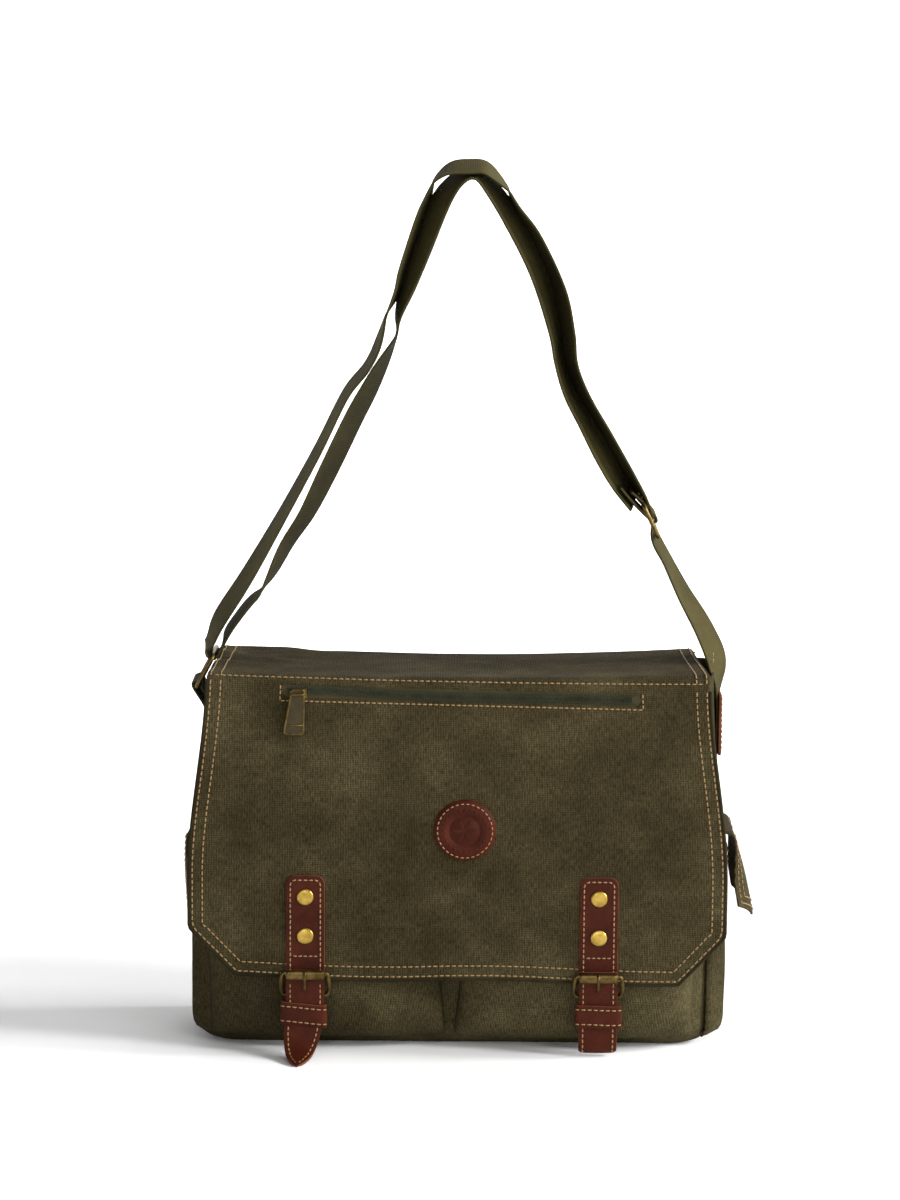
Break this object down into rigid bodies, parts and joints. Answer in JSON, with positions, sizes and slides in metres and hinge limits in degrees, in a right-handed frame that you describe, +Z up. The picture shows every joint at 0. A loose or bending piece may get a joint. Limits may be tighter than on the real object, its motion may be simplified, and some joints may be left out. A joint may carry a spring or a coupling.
{
  "type": "messenger bag",
  "caption": "Waxed canvas messenger bag with a zipped flap, leather buckle straps, side pockets and an adjustable webbing shoulder strap.",
  "frame": {"origin": "centre of the base on the surface it stands on", "axes": "+X to the wearer's view right, front faces -Y, +Z up"},
  "size_m": [0.4098, 0.1446, 0.6222],
  "materials": {
    "canvas": "waxed, mottled weave",
    "webbing": "cross-ribbed webbing",
    "lining": "plain weave",
    "leather": "smooth, waxed",
    "rivet_brass": "polished",
    "antique_brass": "antique",
    "zip_green": "woven tape"
  },
  "bodies": {
    "flap_top": {"flap_top": "canvas"},
    "flap_front": {"flap_front": "canvas", "flap_pocket_bag": "lining", "zip_tape": "zip_green", "zip_teeth": "zip_green", "round_patch": "leather", "upper_tab_left": "leather", "rivets_left": "rivet_brass", "rivet_washers_left": "rivet_brass", "snap_socket_left": "antique_brass", "upper_tab_right": "leather", "rivets_right": "rivet_brass", "rivet_washers_right": "rivet_brass", "snap_socket_right": "antique_brass"},
    "zip_slider": {"zip_slider": "antique_brass"},
    "zip_pull": {"zip_pull": "antique_brass"},
    "shoulder_strap": {"strap_outer_run": "webbing", "strap_inner_run": "webbing", "strap_lower_run": "webbing", "strap_ring": "antique_brass", "ring_loop": "webbing"},
    "adjuster": {"adjuster_frame": "antique_brass", "adjuster_bar": "antique_brass"},
    "buckle_strap_left": {"buckle_roller_left": "antique_brass", "buckle_frame_left": "antique_brass", "lower_strap_left": "leather"},
    "prong_left": {"buckle_prong_left": "antique_brass"},
    "keeper_left": {"keeper_left": "leather"},
    "side_flap_left": {"side_flap_left": "canvas"},
    "buckle_strap_right": {"buckle_roller_right": "antique_brass", "buckle_frame_right": "antique_brass", "lower_strap_right": "leather"},
    "prong_right": {"buckle_prong_right": "antique_brass"},
    "keeper_right": {"keeper_right": "leather"},
    "side_flap_right": {"side_flap_right": "canvas"},
    "bag": {"anchor_tab_left": "webbing", "anchor_tab_right": "leather", "base_panel": "canvas", "body_back": "canvas", "body_front": "canvas", "flap_back_strip": "canvas", "front_pocket_left": "canvas", "front_pocket_right": "canvas", "gusset_left": "canvas", "gusset_right": "canvas", "lining": "lining", "side_pocket_left": "canvas", "side_pocket_right": "canvas", "snap_stud_left": "antique_brass", "snap_stud_right": "antique_brass"}
  },
  "joints": [
    {"name": "flap_top_hinge", "type": "hinge", "parent": "bag", "child": "flap_top", "pos_m": [0, 0.0515, 0.2677], "axis": [-1, 0, 0], "range_deg": [0, 12]},
    {"name": "flap_front_hinge", "type": "hinge", "parent": "flap_top", "child": "flap_front", "pos_m": [0, -0.07075, 0.2695], "axis": [-1, 0, 0], "range_deg": [0, 140]},
    {"name": "zip_slide", "type": "slide", "parent": "flap_front", "child": "zip_slider", "axis": [1, 0, 0], "range_m": [0, 0.225]},
    {"name": "zip_pull_hinge", "type": "hinge", "parent": "zip_slider", "child": "zip_pull", "pos_m": [-0.111, -0.0757, 0.258], "axis": [-1, 0, 0], "range_deg": [0, 120]},
    {"name": "strap_swing", "type": "hinge", "parent": "bag", "child": "shoulder_strap", "pos_m": [0, 0, 0.258], "axis": [-1, 0, 0], "range_deg": [0, 24]},
    {"name": "adjuster_slide", "type": "slide", "parent": "shoulder_strap", "child": "adjuster", "axis": [-0.4067, 0, 0.9136], "range_m": [0, 0.02]},
    {"name": "buckle_strap_left_hinge", "type": "hinge", "parent": "flap_front", "child": "buckle_strap_left", "pos_m": [-0.106, -0.0756, 0.0619], "axis": [-1, 0, 0], "range_deg": [0, 60]},
    {"name": "prong_left_hinge", "type": "hinge", "parent": "buckle_strap_left", "child": "prong_left", "pos_m": [-0.106, -0.0792, 0.057], "axis": [-1, 0, 0], "range_deg": [0, 100]},
    {"name": "keeper_left_slide", "type": "slide", "parent": "buckle_strap_left", "child": "keeper_left", "axis": [0, 0, -1], "range_m": [0, 0.006]},
    {"name": "side_flap_left_hinge", "type": "hinge", "parent": "bag", "child": "side_flap_left", "pos_m": [-0.186, 0, 0.157], "axis": [0, 1, 0], "range_deg": [0, 90]},
    {"name": "buckle_strap_right_hinge", "type": "hinge", "parent": "flap_front", "child": "buckle_strap_right", "pos_m": [0.099, -0.0756, 0.0619], "axis": [-1, 0, 0], "range_deg": [0, 60]},
    {"name": "prong_right_hinge", "type": "hinge", "parent": "buckle_strap_right", "child": "prong_right", "pos_m": [0.099, -0.0792, 0.057], "axis": [-1, 0, 0], "range_deg": [0, 100]},
    {"name": "keeper_right_slide", "type": "slide", "parent": "buckle_strap_right", "child": "keeper_right", "axis": [0, 0, -1], "range_m": [0, 0.006]},
    {"name": "side_flap_right_hinge", "type": "hinge", "parent": "bag", "child": "side_flap_right", "pos_m": [0.186, 0, 0.157], "axis": [0, -1, 0], "range_deg": [-11, 79]}
  ]
}
